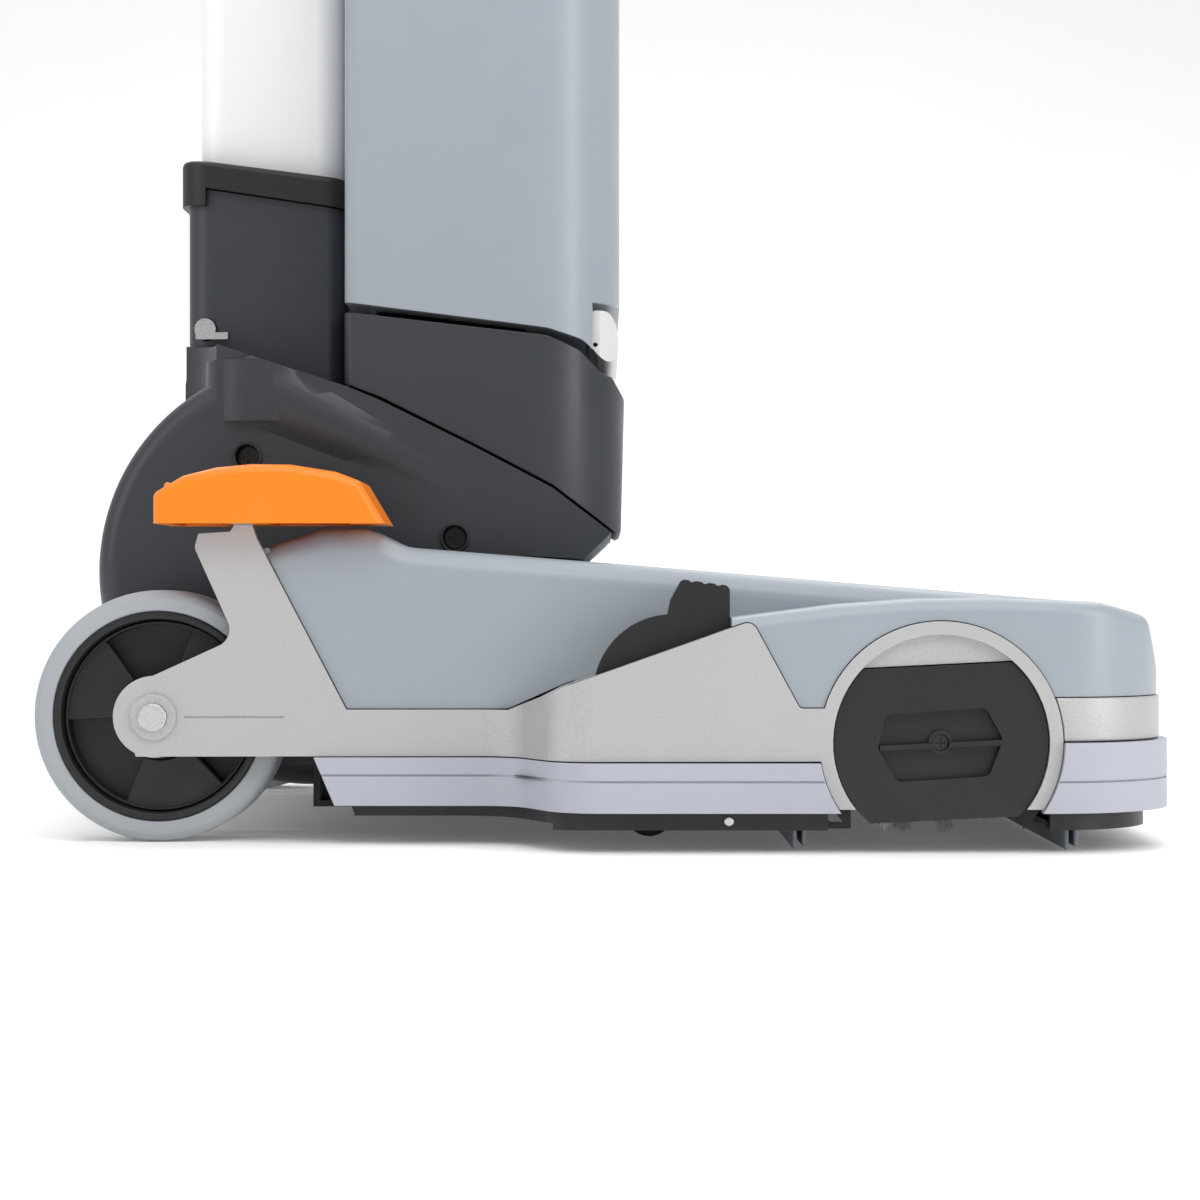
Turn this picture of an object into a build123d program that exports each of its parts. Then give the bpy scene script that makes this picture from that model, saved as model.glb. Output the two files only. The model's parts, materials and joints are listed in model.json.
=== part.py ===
"""Carpet sweeper: floor head, rear wheels, brush roller and a tilting upper body.

Millimetres. +X points to the nose, +Y to the machine's left, +Z up. The origin lies on the
floor at the middle of the outline. The upper body stands upright.
"""
import math
import os

from build123d import *

# ---------------------------------------------------------------- driving dimensions
AXLE_X = -175.0          # rear axle
WHEEL_R = 50.0
WHEEL_OUT = 170.0        # outer face of a wheel
WHEEL_IN = 136.0
PIVOT_X = -122.0         # tilting axis of the upper body
PIVOT_Z = 108.0
DRUM_R = 90.0
BODY_HALF = 104.0        # half width of the upper body's lower shell
BRUSH_X = 129.0          # brush roller axis
BRUSH_Z = 42.0
BRUSH_R = 41.0
RING_R = 46.0            # silver arch ring, outer
RING_IN = 41.0
REAR_HALF = 180.0        # half width of the head behind the step
FRONT_HALF = 220.0       # half width of the head in front of the step
NOSE_X = 221.0
STEP_X = -25.0
WALL = 3.0
GAP = 0.4                # gap between covers
FLOOR_Z = 8.5            # underside of the chassis
PIN_X = 49.0             # support roller pin
PIN_Z = 10.0
DIAL_X = 28.0            # height dial axis
DIAL_Z = 60.0
DIAL_Y = 200.0
BLADE_X = (73.6, 177.6)  # first slot of each pair of rubber blades
BLADE_HALF = 206.5
HOUSING_TOP = 770.0
COLUMN_TOP = 830.0
TOP_Z = 1150.0
SIDES = (("right", -1), ("left", 1))

os.makedirs("parts", exist_ok=True)


# ---------------------------------------------------------------- helpers
def save(node, shape):
    if isinstance(shape, (list, tuple)):
        shape = Compound(children=list(shape))
    export_step(shape, f"parts/{node}.step")
    b = shape.bounding_box()
    print(node, len(shape.solids()), [round(v, 1) for v in (*b.min, *b.max)])


def outline(pts, radii=None):
    """Closed outline in the XZ plane; radii rounds corners by their index."""
    face = make_face(Polyline(*pts, close=True))
    for index, radius in (radii or {}).items():
        x, y = pts[index]
        corner = face.vertices().sort_by_distance((x, y, 0))[0]
        face = fillet(corner, radius)
    return face


def prism(face, y0, y1):
    """Sketch drawn with x = X and y = Z, extruded from y0 to y1 across the machine."""
    return Pos(0, y1, 0) * extrude(Plane.XZ * face, y1 - y0)


def pole(x, z, radius, y0, y1):
    return Pos(x, y1, z) * extrude(Plane.XZ * Circle(radius), y1 - y0)


def cone(x, z, r0, r1, y0, y1):
    return Pos(x, (y0 + y1) / 2, z) * Rot(-90, 0, 0) * Cone(r0, r1, y1 - y0)


def brick(x0, x1, y0, y1, z0, z1):
    return Pos((x0 + x1) / 2, (y0 + y1) / 2, (z0 + z1) / 2) * Box(x1 - x0, y1 - y0, z1 - z0)


def span(face, z0, z1):
    """Plan sketch extruded from z0 to z1."""
    return Pos(0, 0, z0) * extrude(face, z1 - z0)


def flip(shape):
    return mirror(shape, about=Plane.XZ)


def try_fillet(shape, edges, radius):
    """Rounds the edges, with a smaller radius where the full one does not fit."""
    for scale in (1.0, 0.7, 0.45, 0.25):
        try:
            out = fillet(edges, radius * scale)
            if out.is_valid and len(out.solids()) >= 1:
                return out
        except Exception:
            continue
    print("no fillet", radius)
    return shape


def plan(off):
    """Outline of the head from above, grown by off from the silver frame's outer face."""
    rear = REAR_HALF + off
    front = FRONT_HALF + off
    nose = NOSE_X + off
    k = STEP_X + off * 0.45
    pts = [(-230, rear), (k - 10, rear), (k + 10, front), (nose - 2, front)]
    pts += [(nose - 2, -front), (k + 10, -front), (k - 10, -rear), (-230, -rear)]
    edges = Polyline(*pts[:4]) + ThreePointArc(pts[3], (nose + 1, 0), pts[4]) + Polyline(*pts[4:])
    edges += Line(pts[-1], pts[0])
    face = make_face(edges)
    for i, radius in ((1, 22 - off), (2, 22 + off), (3, 50 + off)):
        for sign in (1, -1):
            x, y = pts[i][0], pts[i][1] * sign
            corner = face.vertices().sort_by_distance((x, y, 0))[0]
            face = fillet(corner, radius)
    return face


def rounded(x0, x1, half, radius, front=None, off=0.0):
    """Plan rectangle with rounded corners; front gives the radius of the two front corners."""
    x0, x1, half = x0 - off, x1 + off, half + off
    face = make_face(Polyline((x0, half), (x1, half), (x1, -half), (x0, -half), close=True))
    for x, r in ((x0, radius + off), (x1, (front or radius) + off)):
        for y in (half, -half):
            face = fillet(face.vertices().sort_by_distance((x, y, 0))[0], max(r, 0.6))
    return face


# ---------------------------------------------------------------- silver side frames
FRAME_PTS = [
    (-182.0, 34.6), (-189.0, 57.5), (-180.3, 64.0), (-143.0, 81.0), (-159.0, 116.5),
    (-157.5, 122.0), (-145.0, 122.8), (-143.3, 125.5), (-136.5, 125.5), (-134.5, 119.9),
    (-99.5, 53.0), (-36.0, 53.0), (-15.0, 62.4), (57.5, 88.2), (75.5, 55.0),
    (96.0, 55.0), (BRUSH_X, BRUSH_Z), (86.0, 35.0),
]
FRAME_ROUND = {3: 7.0, 4: 4.0, 13: 4.0, 14: 2.0}


def frame_outline(off=0.0):
    face = outline(FRAME_PTS, FRAME_ROUND)
    face += Pos(AXLE_X, 50.2) * Circle(16.0)
    ring = Pos(BRUSH_X, BRUSH_Z) * Circle(RING_R)
    ring -= Pos(BRUSH_X, 0) * Rectangle(140, 2 * 16.8)
    face += ring
    if off:
        face = offset(face, off)
    return face


def side_frame():
    """Machine's right side: arm, strip, step, side panel and arch ring."""
    skin = prism(frame_outline(), -226, -150)
    wall = span(plan(0) - plan(-4.5), 0, 130)
    body = skin & wall & brick(-230, BRUSH_X + RING_R + 1, -240, -100, 0, 140)
    # wide sloping ledge on top of the side panel, with the slot of the height dial
    top = [(-33.0, 53.0), (-15.0, 62.4), (54.0, 86.9), (54.0, 83.0), (-13.5, 59.0), (-30.0, 50.0)]
    ledge = prism(outline(top), -217, -REAR_HALF + 1.6) & span(plan(-1.0), 0, 120)
    body += ledge
    body -= brick(-12, 58.5, -DIAL_Y - 7, -DIAL_Y + 7, 40, 100)
    # arch ring and the flat tongue above the end cap
    body -= pole(BRUSH_X, BRUSH_Z, RING_IN, -240, -150)
    tongue = pole(BRUSH_X, BRUSH_Z, RING_IN + 0.6, -217.0, -214.5)
    chord = Pos(BRUSH_X, -216, BRUSH_Z) * Rot(0, -2.8, 0) * Pos(0, 0, 29.7 + 30) * Box(100, 20, 60)
    body += tongue & chord
    # hub bore and hub recess
    body += pole(AXLE_X, 50.2, 9.0, -181.4, -177)
    body -= pole(AXLE_X, 50.0, 5.55, -200, -150)
    # groove of the strip
    body -= brick(-163, -124, -180.2, -179.4, 49.7, 50.5)
    # ear of the pedal pin
    ear = outline([(-143.0, 121.0), (-144.5, 130.5), (-135.5, 130.5), (-136.8, 121.0)])
    body += prism(ear, -179.5, -175.7) + pole(-140, 130.5, 4.4, -179.5, -175.7)
    body -= pole(-140, 130.5, 2.51, -190, -150)
    return body


frame_right = side_frame()
rim_edges = [e for e in frame_right.edges() if e.center().Y < -179.0 and e.length > 8.0]
frame_right = try_fillet(frame_right, rim_edges, 1.4)
save("side_frame_right", frame_right)
save("side_frame_left", flip(frame_right))

# ---------------------------------------------------------------- silver band round the nose
band = span(plan(0) - plan(-4.5), 42.5, 59.0) & brick(150, 240, -240, 240, 0, 100)
for _, s in SIDES:
    band -= pole(BRUSH_X, BRUSH_Z, RING_R + GAP, s * 195 - 40, s * 195 + 40)
save("front_band", band)

# ---------------------------------------------------------------- rubber bumper
bumper = span(plan(3.0) - plan(-4.5), 15.5, 34.3)
nose_lift = span(plan(3.0) - plan(-4.5), 15.5, 42.0) & brick(150, 240, -240, 240, 0, 100)
bumper += nose_lift
bumper -= span(plan(6.0) - plan(2.2), 27.0, 27.8)
for _, s in SIDES:
    tail = outline([(-250, 10), (-101.5, 10), (-114.5, 40), (-250, 40)])
    bumper -= prism(tail, s * 190 - 45, s * 190 + 45)
    bumper -= pole(BRUSH_X, BRUSH_Z, RING_R + GAP, s * 195 - 40, s * 195 + 40)
pieces = bumper.solids().sort_by(Axis.X)
save("bumper_nose", pieces[-1])
for piece in pieces[:2]:
    save("bumper_left" if piece.center().Y > 0 else "bumper_right", piece)


# ---------------------------------------------------------------- light-grey deck cover
def deck_form(inset):
    """Outer form of the cover: main deck with sloping top, swelling into the front fenders."""
    i = inset
    main = [
        (-134.0 + i, 40.0), (-134.0 + i, 116.0 - i), (-109.0 + i / 2, 124.0 - i), (-92.0, 124.2 - i),
        (-77.0, 116.9 - i), (-6.0, 111.3 - i), (120.0, 101.0 - i), (190.0, 95.3 - i),
        (211.5 - i, 89.8 - i), (221.0 - i, 58.0), (221.0 - i, 40.0),
    ]
    core = prism(outline(main, {3: 12.0, 4: 25.0, 7: 40.0, 8: 6.0}), -178 + i, 178 - i)
    core = core & span(plan(-1.0 - i), 0, 140)
    guard = [
        (50.0 + i, 40.0), (50.0 + i, 89.3 - i), (90.0, 94.4 - i), (121.0, 96.6 - i), (150.0, 97.0 - i),
        (190.0, 95.3 - i), (211.5 - i, 89.8 - i), (221.0 - i, 58.0), (221.0 - i, 40.0),
    ]
    fender = prism(outline(guard, {2: 60.0, 3: 60.0, 5: 40.0, 6: 6.0}), -222, 222) & span(plan(-1.0 - i), 0, 140)
    return core, fender


def deck(inset, edge):
    core, fender = deck_form(inset)
    side = [e for e in core.edges() if abs(abs(e.center().Y) - 178 + inset) < 0.2]
    side = [e for e in side if e.center().Z > 92 and e.center().X < 180 and e.length > 8]
    core = try_fillet(core, side, edge)
    outer = [e for e in fender.edges() if e.center().Z > 70 and e.center().X > 60]
    outer = [e for e in outer if abs(e.center().Y) > 150 or e.center().X > 200]
    outer = [e for e in outer if e.bounding_box().size.Z < 36 and e.length > 6]
    fender = try_fillet(fender, outer, edge)
    return core + fender


cover = deck(0.0, 9.0) - (deck(WALL, 7.0) & brick(-260, 260, -260, 260, 30, 130))
cover = cover & brick(-140, 240, -230, 230, 53.4, 140)
cut = prism(frame_outline(GAP), -230, -168)
for shape in (cut, flip(cut)):
    cover -= shape & (brick(-230, -10, -240, 240, 0, 140) + brick(50, 240, -240, 240, 0, 140))
cover -= span(plan(2) - plan(-5.2), 40.0, 59.0 + GAP) & brick(150, 240, -240, 240, 0, 100)
# the well of the tilting drum
well = pole(PIVOT_X, PIVOT_Z, DRUM_R + 4.0, -126, 126) + brick(-240, PIVOT_X, -126, 126, 20, 140)
cover -= well
# walls of the well and rear walls of the two cheeks
for _, s in SIDES:
    y0, y1 = (126, 129) if s > 0 else (-129, -126)
    cheek = prism(outline([(-126, 60), (-106, 60), (-30, 60), (-30, 108), (-92, 119), (-126, 113)]), y0, y1)
    cover += cheek
    rear = outline([(-134, 116), (-130.5, 116.5), (-101.0, 53.6), (-104.5, 53.6)])
    ra, rb = (129, 175) if s > 0 else (-175, -129)
    cover += prism(rear, ra, rb)
lip = pole(PIVOT_X, PIVOT_Z, DRUM_R + 7.0, -126, 126) - pole(PIVOT_X, PIVOT_Z, DRUM_R + 4.0, -127, 127)
lip = lip & brick(-70, 0, -126, 126, 60, 111)
cover += lip
# keep the swept room of the wheels free
for _, s in SIDES:
    cover -= pole(AXLE_X, 50, WHEEL_R + 3, s * 153 - 20, s * 153 + 20)
cover = max(cover.solids(), key=lambda b: b.volume)
save("deck_cover", cover)

# ---------------------------------------------------------------- chassis
def chassis_body():
    outer = span(plan(-6.0), FLOOR_Z, 50.0) & brick(-118, 240, -240, 240, 0, 100)
    body = outer - (span(plan(-9.0), FLOOR_Z + 2.5, 60.0) & brick(-115, 216, -240, 240, 0, 100))
    # the underside steps up behind the front half
    body -= brick(-130, -18, -240, 240, 0, 11.0)
    step = span(plan(-6.0), 11.0, 13.5) & brick(-118, -15, -240, 240, 0, 100)
    body += step
    # drum trough
    trough = pole(PIVOT_X, PIVOT_Z, DRUM_R + 7, -113, 113) & brick(-118, -15, -240, 240, 11, 50)
    body += trough
    body -= pole(PIVOT_X, PIVOT_Z, DRUM_R + 4, -110, 110)
    body -= brick(-130, -112, -110, 110, 13.5, 60)
    for _, s in SIDES:
        body -= brick(-130, -112, s * 119.5 - 4.9, s * 119.5 + 4.9, 13.5, 60)
    # brush tunnel
    body += pole(BRUSH_X, BRUSH_Z, 47.5, -208, 208) & brick(60, 200, -210, 210, FLOOR_Z, 100)
    body -= pole(BRUSH_X, BRUSH_Z, 44.5, -205, 205)
    body -= pole(BRUSH_X, BRUSH_Z, 41.4, -230, 230)
    body -= brick(88, 172, -204, 204, 0, 14)
    for _, s in SIDES:
        body -= brick(96, 162, min(s * 200, s * 230), max(s * 200, s * 230), 0, 30)
        body -= pole(BRUSH_X, BRUSH_Z, RING_R + GAP, s * 214 - 12, s * 214 + 12) & brick(
            60, 200, -240, 240, 0, 90) - brick(60, 200, -209, 209, 0, 90)
    # pockets of the support rollers
    for _, s in SIDES:
        body += brick(0, 62, s * 131 - 21, s * 131 + 21, FLOOR_Z, 33)
        body -= brick(3, 59, s * 131 - 18, s * 131 + 18, 0, 30)
    # pin saddle and motor saddle
    body += brick(42, 56, -211, 211, FLOOR_Z, 15)
    for _, s in SIDES:
        body -= brick(3, 59, s * 131 - 18, s * 131 + 18, 0, 30)
    body += brick(44, 74, 95, 101, FLOOR_Z + 1, 40) + brick(44, 74, 158, 164, FLOOR_Z + 1, 40)
    body -= pole(PIN_X, PIN_Z + 2.0, 2.05, -230, 230)
    body -= pole(58, 36, 18.05, 90, 170)
    # belt slot through the tunnel wall
    body -= brick(52, 130, 174, 192, 20, 62) & pole(BRUSH_X, BRUSH_Z, 60, 174, 192) & brick(
        60, 100, 170, 195, 16, 62)
    # slots of the blades
    for x0 in BLADE_X:
        body += brick(x0 - 2, x0 + 9, -209, 209, FLOOR_Z, 23.3) & span(plan(-6.0), 0, 40)
        body -= brick(x0, x0 + 1.8, -BLADE_HALF - 0.5, BLADE_HALF + 0.5, 0, 22)
        body -= brick(x0 + 3.6, x0 + 5.4, -BLADE_HALF - 0.5, BLADE_HALF + 0.5, 0, 22)
    # bosses of the under-pan screws
    for x, y in SCREW_SPOTS:
        body += Pos(x, y, 20.5) * Cylinder(6, 19)
        body -= Pos(x, y, 12) * Cylinder(2.05, 24)
        body -= Pos(x, y, 9.5) * Cylinder(4.3, 5)
    return body


SCREW_SPOTS = [(-85, 150), (-85, -150), (20, 185), (20, -185), (200, 120), (200, -120)]
chassis = chassis_body()
chassis = max(chassis.solids(), key=lambda b: b.volume)
save("chassis", chassis)

screws = []
for x, y in SCREW_SPOTS:
    screw = Pos(x, y, 16.5) * Cylinder(2.0, 9.0) + Pos(x, y, 11.0) * Cylinder(4.0, 2.0)
    screw -= Pos(x, y, 10.3) * (Box(4, 0.9, 1.2) + Box(0.9, 4, 1.2))
    screws.append(screw)
save("under_screws", screws)

# ---------------------------------------------------------------- pivot cheeks and stub axles
cheek = outline(
    [(-188, 50), (-175, 37), (-112, 30), (-62, 22), (-62, 48), (-100, 72), (-108, 108), (-122, 122),
     (-136, 108), (-140, 84), (-175, 63)], {0: 9, 1: 9, 7: 12, 5: 10, 9: 14, 10: 9, 8: 6, 6: 6})
cheek_r = prism(cheek, -124, -115)
cheek_r -= pole(PIVOT_X, PIVOT_Z, 9.05, -130, -110)
cheek_r -= pole(AXLE_X, 50, 5.05, -130, -110)
cheek_r += brick(-90, -62, -124, -115, 13.5, 40)
save("pivot_cheek_right", cheek_r)
save("pivot_cheek_left", flip(cheek_r))

axle = pole(AXLE_X, 50, 5.0, -179.0, -113.0) + pole(AXLE_X, 50, 5.5, -184.0, -175.0)
axle -= brick(-190, -160, -190, -181.6, 40, 46.4)
axle = try_fillet(axle, axle.edges().filter_by(GeomType.CIRCLE).sort_by(Axis.Y)[0:2], 0.5)
save("stub_axles", [axle, flip(axle)])

# ---------------------------------------------------------------- wheels
tyre_out = -WHEEL_OUT
section = Plane.XY * make_face(Polyline((41.6, 1), (49.4, 1), (WHEEL_R, 8), (WHEEL_R, 26), (49.4, 33),
                                       (41.6, 33), (41.6, 30.1), (40.2, 30.1), (40.2, 3.9),
                                       (41.6, 3.9), close=True))
section = fillet(section.vertices().sort_by(Axis.X)[-4:], 4.5)
tyre = Pos(AXLE_X, tyre_out, 50) * (revolve(section, Axis.Y))
save("tyre_right", tyre)
save("tyre_left", flip(tyre))

rim = pole(AXLE_X, 50, 41.4, tyre_out + 0.6, tyre_out + 33.4)
rim -= pole(AXLE_X, 50, 60, tyre_out + 3.7, tyre_out + 30.3) - pole(AXLE_X, 50, 40.0, -180, -130)
rim -= pole(AXLE_X, 50, 37.6, -180, tyre_out + 13)
rim -= pole(AXLE_X, 50, 37.0, tyre_out + 17, -130)
rim += pole(AXLE_X, 50, 17.0, tyre_out + 0.6, tyre_out + 33.4)
for turn in (37.0, 152.0, 285.0):
    web = Pos(AXLE_X, tyre_out + 15, 50) * (Rot(0, -turn, 0) * (
        Pos(27, 0, 0) * Box(25, 24, 26) & Pos(0, 40, 0) * Rot(90, 0, 0) * Cylinder(38.2, 160)))
    rim += web & pole(AXLE_X, 50, 38.2, tyre_out + 4.5, tyre_out + 15)
rim -= pole(AXLE_X, 50, 5.06, -190, -120)
save("rim_right", rim)
save("rim_left", flip(rim))

# ---------------------------------------------------------------- blades
for node, x0 in (("blades_rear", BLADE_X[0]), ("blades_front", BLADE_X[1])):
    front = brick(x0 + 0.1, x0 + 1.7, -BLADE_HALF, BLADE_HALF, 0.4, 21.5)
    back = brick(x0 + 3.7, x0 + 5.3, -BLADE_HALF, BLADE_HALF, 1.6, 21.5)
    save(node, [front, back])

# ---------------------------------------------------------------- brush roller
core = pole(BRUSH_X, BRUSH_Z, 20.0, -198, 198)
core += pole(BRUSH_X, BRUSH_Z, 24.0, 172, 176) + pole(BRUSH_X, BRUSH_Z, 24.0, 190, 194)
core -= pole(BRUSH_X, BRUSH_Z, 6.05, -210, -180) + pole(BRUSH_X, BRUSH_Z, 6.05, 180, 210)
save("brush_core", core)

tufts = []
for row in range(4):
    for k in range(-12, 12):
        step = k if k >= 0 else -k - 1
        angle = 90 * row + 22.5 * step - 8.5
        y = (k + 0.5) * 14.6 - 13
        tuft = Pos(29.9, 0, 0) * Rot(0, 90, 0) * Cone(2.8, 4.3, 22.0)
        tuft = Pos(BRUSH_X, y, BRUSH_Z) * (Rot(0, -angle, 0) * tuft)
        tufts.append(tuft - pole(BRUSH_X, BRUSH_Z, 20.02, y - 9, y + 9))
save("brush_tufts", tufts)

# ---------------------------------------------------------------- end caps
def end_cap():
    disc = pole(BRUSH_X, BRUSH_Z, 40.5, -218.5, -209.3)
    tilt = Pos(BRUSH_X, 0, BRUSH_Z) * Rot(0, -2.8, 0)
    disc = disc & (tilt * Box(100, 600, 58.4))
    hexagon = [(-20.5, 11.5), (17.5, 12.5), (23.5, 0.0), (17.5, -13.5), (-17.5, -14.0), (-24.0, -1.0)]
    pocket = prism(outline(hexagon, {i: 3.0 for i in range(6)}), -4.0, 4.0)
    disc -= tilt * Pos(0, -218.5, 0) * pocket
    disc += tilt * Pos(0, -216.6, -1.0) * Box(46.5, 3.6, 2.0)
    disc += pole(BRUSH_X, BRUSH_Z, 6.0, -210, -181) - pole(BRUSH_X, BRUSH_Z, 3.2, -230, -170)
    disc += pole(BRUSH_X, BRUSH_Z, 4.6, -216.6, -209)
    disc -= pole(BRUSH_X, BRUSH_Z, 3.2, -230, -213.4)
    disc -= pole(BRUSH_X, BRUSH_Z, 1.55, -230, -190)
    return disc


cap = end_cap()
rims = [e for e in cap.edges() if abs(e.center().Y + 218.5) < 0.05 and e.length > 20]
cap = try_fillet(cap, rims, 1.2)
save("end_cap_right", cap)
save("end_cap_left", flip(cap))
capscrew = pole(BRUSH_X, BRUSH_Z, 3.0, -215.6, -213.5) + pole(BRUSH_X, BRUSH_Z, 1.5, -214, -199)
capscrew -= Pos(BRUSH_X, -215.6, BRUSH_Z) * (Box(3.6, 2.0, 0.8) + Box(0.8, 2.0, 3.6))
save("cap_screw_right", capscrew)
save("cap_screw_left", flip(capscrew))

# ---------------------------------------------------------------- brush motor and belt
motor = pole(58, 36, 18.0, 90, 168)
motor += pole(58, 36, 14.0, 86, 90)
motor -= pole(58, 36, 3.05, 160, 200)
save("brush_motor", motor)
pulley = pole(58, 36, 7.5, 177, 189) + pole(58, 36, 9.5, 175.5, 177) + pole(58, 36, 9.5, 189, 190.5)
pulley += pole(58, 36, 3.0, 161, 178)
save("motor_pulley", pulley)
gap_x = BRUSH_X - 58
gap_z = BRUSH_Z - 36
reach = math.hypot(gap_x, gap_z)
lean = math.degrees(math.atan2(gap_z, gap_x))


def belt_loop(extra):
    r0, r1 = 7.6 + extra, 20.1 + extra
    side = math.asin((r1 - r0) / reach)
    sn, cs = math.sin(side), math.cos(side)
    pts = [(-r0 * sn, r0 * cs), (reach - r1 * sn, r1 * cs), (reach - r1 * sn, -r1 * cs), (-r0 * sn, -r0 * cs)]
    face = make_face(Polyline(*pts, close=True))
    face += Circle(r0)
    face += Pos(reach, 0) * Circle(r1)
    return Pos(58, 36) * Rot(0, 0, lean) * face


belt = prism(belt_loop(1.8) - belt_loop(0.0), 178, 188)
save("drive_belt", belt)

# ---------------------------------------------------------------- support rollers
PIN_AT = PIN_Z + 2.0
pin = pole(PIN_X, PIN_AT, 2.0, -214.6, 214.6)
save("roller_pin", pin)
ROLL_X = 20.0
forks = []
rollers = []
for _, s in SIDES:
    arm_out = outline([(ROLL_X, 14.5), (ROLL_X, 5.5), (PIN_X, 8.0), (PIN_X, 16.0)])
    arm = prism(arm_out, -3, 0) + pole(ROLL_X, 10, 4.5, -3, 0) + pole(PIN_X, PIN_AT, 4.2, -3, 0)
    hub = pole(PIN_X, PIN_AT, 4.2, -26, 0)
    fork = Pos(0, s * 131 + 14.5, 0) * arm + Pos(0, s * 131 - 11.5, 0) * arm
    fork += Pos(0, s * 131 + 13.0, 0) * hub
    fork -= pole(PIN_X, PIN_AT, 2.06, s * 131 - 20, s * 131 + 20)
    fork += pole(ROLL_X, 10, 2.0, s * 131 - 13, s * 131 + 13)
    fork = max(fork.solids(), key=lambda b: b.volume)
    roller = pole(ROLL_X, 10, 10.0, s * 131 - 11, s * 131 + 11) - pole(
        ROLL_X, 10, 2.06, s * 131 - 20, s * 131 + 20)
    roller = try_fillet(roller, [e for e in roller.edges() if e.length > 40], 1.5)
    forks.append(fork)
    rollers.append(roller)
save("roller_fork_right", forks[0])
save("roller_fork_left", forks[1])
save("support_roller_right", rollers[0])
save("support_roller_left", rollers[1])

# ---------------------------------------------------------------- height dial
dial = pole(DIAL_X, DIAL_Z, 30.6, -DIAL_Y - 4.5, -DIAL_Y + 4.5)
tab = outline(
    [(DIAL_X - 8, DIAL_Z), (DIAL_X - 1.0, DIAL_Z + 36.0), (DIAL_X + 3.4, DIAL_Z + 44.0),
     (DIAL_X + 21.8, DIAL_Z + 41.5), (DIAL_X + 21.8, DIAL_Z + 24.0), (DIAL_X + 14, DIAL_Z)],
    {2: 2.0, 3: 2.5})
dial += prism(tab, -DIAL_Y - 4.5, -DIAL_Y + 4.5)
for dx, dz in ((7.5, 44.6), (12.5, 43.9), (17.5, 43.2)):
    dial -= pole(DIAL_X + dx, DIAL_Z + dz, 1.7, -DIAL_Y - 8, -DIAL_Y + 8)
dial -= pole(DIAL_X, DIAL_Z, 4.06, -DIAL_Y - 8, -DIAL_Y + 8)
dial -= brick(-40, 90, -DIAL_Y - 9, -DIAL_Y + 9, 0, 33)
save("height_dial", dial)
axle_pin = pole(DIAL_X, DIAL_Z, 4.0, -DIAL_Y - 12, -DIAL_Y + 10)
axle_pin += brick(DIAL_X - 4, DIAL_X + 4, -DIAL_Y + 5.2, -DIAL_Y + 9, 33, DIAL_Z)
axle_pin += brick(DIAL_X - 4, DIAL_X + 4, -DIAL_Y - 10.5, -DIAL_Y - 5.2, 33, DIAL_Z)
save("dial_bracket", axle_pin)

# ---------------------------------------------------------------- pedals
def pedal_body():
    pts = [(-173.7, 125.8), (-173.7, 137.5), (-162.0, 144.4), (-149.0, 147.6), (-135.6, 148.9),
           (-120.3, 148.7), (-102.7, 145.9), (-93.3, 142.3), (-83.5, 125.8)]
    body = prism(outline(pts, {1: 3.0, 7: 3.0}), -192, -142)
    edges = [e for e in body.edges() if e.center().Z > 138 and e.length < 30]
    edges = [e for e in edges if abs(abs(e.center().Y + 167) - 25) < 0.1]
    body = try_fillet(body, edges, 4.0)
    # chamfered front face and hollow underside
    body -= brick(-168, -98, -188.5, -145.5, 120, 137.5) - brick(-150, -130, -200, -140, 120, 150)
    body -= brick(-149.5, -130.5, -182.5, -172.5, 120, 136.0)
    for y in range(-186, -147, 6):
        for k in range(7):
            x = -168.5 + 4.4 * k
            z = 141.0 + 1.45 * k - 0.075 * k * k
            if k < 6:
                body += Pos(x, y, z - 0.6) * Sphere(1.5)
    body -= pole(-140, 130.5, 2.55, -189.3, -130)
    return body


pedal = pedal_body()
pedal = max(pedal.solids(), key=lambda b: b.volume)
save("pedal_right", pedal)
save("pedal_left", flip(pedal))
ped_pin = pole(-140, 130.5, 2.5, -189.0, -143.5)
save("pedal_pins", [ped_pin, flip(ped_pin)])


# ---------------------------------------------------------------- upper body: lower shells
SEAM = [(-190.0, 208.2), (-178.5, 206.3), (-161.0, 203.5), (-106.0, 185.6), (-92.5, 180.0),
        (-52.0, 160.0), (-20.0, 143.2), (5.0, 124.2), (60.0, 82.0)]
BODY_PTS = [
    (-161.0, 180.0), (-161.0, 203.5), (-106.0, 185.6), (-92.5, 180.0), (-52.0, 160.0), (-20.0, 143.2),
    (5.0, 124.2), (-7.0, 113.2), (-32.0, 114.6), (-60.0, 60.0), (-150.0, 90.0),
]
NECK_PTS = [(-181.0, 190.0), (-178.5, 206.3), (-161.0, 203.5), (-140.0, 196.7), (-140.0, 150.0),
            (-170.0, 160.0), (-181.0, 174.0)]
NECK_HALF = 57.0


def body_outline(off):
    face = outline(BODY_PTS, {6: 2.0})
    face += Pos(PIVOT_X, PIVOT_Z) * Circle(DRUM_R)
    face -= make_face(Polyline(*SEAM, (60, 300), (-190, 300), close=True))
    if off:
        face = offset(face, -off)
    return face


def lower_body(half, off, edge):
    body = prism(body_outline(off), -half, half)
    rim_edges = [e for e in body.edges() if abs(abs(e.center().Y) - half) < 0.1]
    rim_edges = [e for e in rim_edges if e.length > 60 and e.center().X < -60 and e.center().Z < 150]
    return try_fillet(body, rim_edges, edge)


def neck(half, off):
    face = outline(NECK_PTS)
    if off:
        face = offset(face, -off)
    return prism(face, -half, half)


shell = lower_body(BODY_HALF, 0.0, 11.0) + neck(NECK_HALF, 0.0)
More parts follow.
